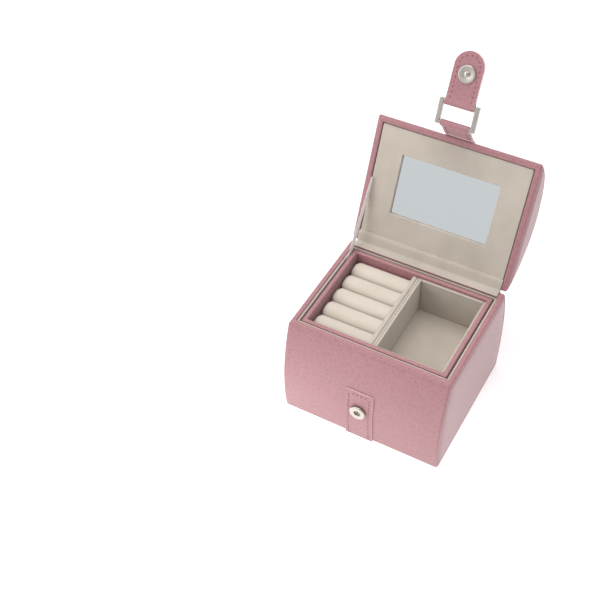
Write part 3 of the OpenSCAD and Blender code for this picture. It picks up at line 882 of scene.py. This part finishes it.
heights = [root_low + (root_high - root_low) * n / 8 for n in range(9)]
bm = strip([(*dome_point(0, z, root_t)[1:], strap_half) for z in heights])
bmesh.ops.transform(bm, matrix=opened, verts=bm.verts)
part = make_piece("strap_root_leather", bm, [leatherette, cut_edge], ["strap_anchor"], root_t,
                  root_round, 1)
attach(part, "lid")
bm = bmesh.new()
row_z = root_high - seam_inset
sew(bm, [dome_point(-seam_half, row_z, root_t), dome_point(seam_half, row_z, root_t)], strap_pitch,
    lambda p: (p - dome_centre - Vector((p.x, 0, 0))).normalized())
bmesh.ops.transform(bm, matrix=opened, verts=bm.verts)
part = make_piece("strap_root_stitches", bm, [thread], [])
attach(part, "lid")

# ---- Hinge ----
# Two flexible strips join the lid to the body: leatherette outside, velveteen inside. There is no pin,
# so the fold itself is the hinge. The strips are drawn bent in the open pose.
spine_half = 46 * MM
spine_t = 0.6 * MM
spine_low, spine_high = rim_z - 8 * MM, rim_z - 0.7 * MM
spine_heights = [spine_low + (spine_high - spine_low) * n / 8 for n in range(9)]
body_run = [(-face_point(z, spine_t).y, z) for z in spine_heights]
dome_run = [opened @ dome_point(0, lid_z + z * MM, spine_t, 1) for z in (0.7, 1.6, 2.6, 3.6, 4.8, 6)]
spine_fold = [(rim_y + 0.35 * MM, rim_z + 0.2 * MM), (rim_y + 0.6 * MM, rim_z + 0.75 * MM)]
line = body_run + spine_fold + [(p.y, p.z) for p in dome_run]
bm = strip([(y, z, spine_half) for y, z in line], 24)
bmesh.ops.recalc_face_normals(bm, faces=bm.faces)
part = make_piece("hinge_spine_leather", bm, [leatherette], ["hinge_spine"], spine_t, 0.2 * MM)
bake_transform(part)

cover_t = 0.4 * MM
cover_half = 46.2 * MM
inner = [(y * MM, rim_z + cover_t) for y in (34.6, 35.6, 36.6, 37.6, 38.4, 38.9)]
outer = [opened @ Vector((0, y * MM, lid_z + z * MM)) for y, z in (
    (38.9, -0.4), (38.4, -0.4), (37.4, -0.4), (36.2, -0.4), (35, -0.4), (33.9, -0.38), (33.25, -0.1),
    (33, 0.5), (32.95, 1.1),
)]
fold = [(rim_y - 0.25 * MM, rim_z + 0.62 * MM)]
line = inner + fold + [(p.y, p.z) for p in outer]
bm = strip([(y, z, cover_half) for y, z in line], 24)
part = make_piece("hinge_lining_velvet", bm, [beige_velvet], ["hinge_lining"], -cover_t,
                  0.12 * MM)
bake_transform(part)

# ---- Lid stay ----
# A white satin ribbon that stops the lid. Its foot is glued behind the left lining, and its head behind
# the lid's panel. It bows a little along its length.
float_w = 0.3 * MM
ribbon_w = 5 * MM
ribbon_t = 0.3 * MM
ribbon_x = -45.3 * MM
ribbon_belly = 0.12 * MM
hem = 4 * MM

# Satin: long floats of polyester along the ribbon, which give a soft sheen along its length. The
# floats are drawn wider than real ones, which are too fine to show.
satin, tree, shader, place = new_material("white_satin_ribbon", Roughness=0.35)
shader.inputs["Sheen Weight"].default_value = 0.3
weave = add(tree, "ShaderNodeTexWave", {"Vector": place, "Scale": 0.3 / float_w, "Distortion": 0.4},
            bands_direction="Y")
tone = add(tree, "ShaderNodeMix", {0: weave.outputs["Fac"], 6: linear("#E6DEDA"), 7: linear("#F4EFEC")},
           data_type="RGBA")
tree.links.new(tone.outputs[2], shader.inputs["Base Color"])

foot = Vector((ribbon_x, 12.5 * MM, 44.5 * MM))
head = opened @ Vector((ribbon_x, rim_y - 42 * MM, lid_z + 0.8 * MM))
run = (head - foot).normalized()
across_run = Vector((1, 0, 0)).cross(run)
length = (head - foot).length + 3 * MM
bm = bmesh.new()
bmesh.ops.create_grid(bm, x_segments=4, y_segments=48, size=0.5)
for vert in bm.verts:
    along = (vert.co.y + 0.5) * length - hem
    belly = ribbon_belly * sin(pi * (vert.co.y + 0.5) * 3) * cos(pi * vert.co.x)
    vert.co = foot + run * along + across_run * vert.co.x * ribbon_w + Vector((belly, 0, 0))
part = make_piece("lid_stay_ribbon", bm, [satin], ["lid_stay"], ribbon_t)
part.modifiers["thickness"].offset = 0
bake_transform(part)
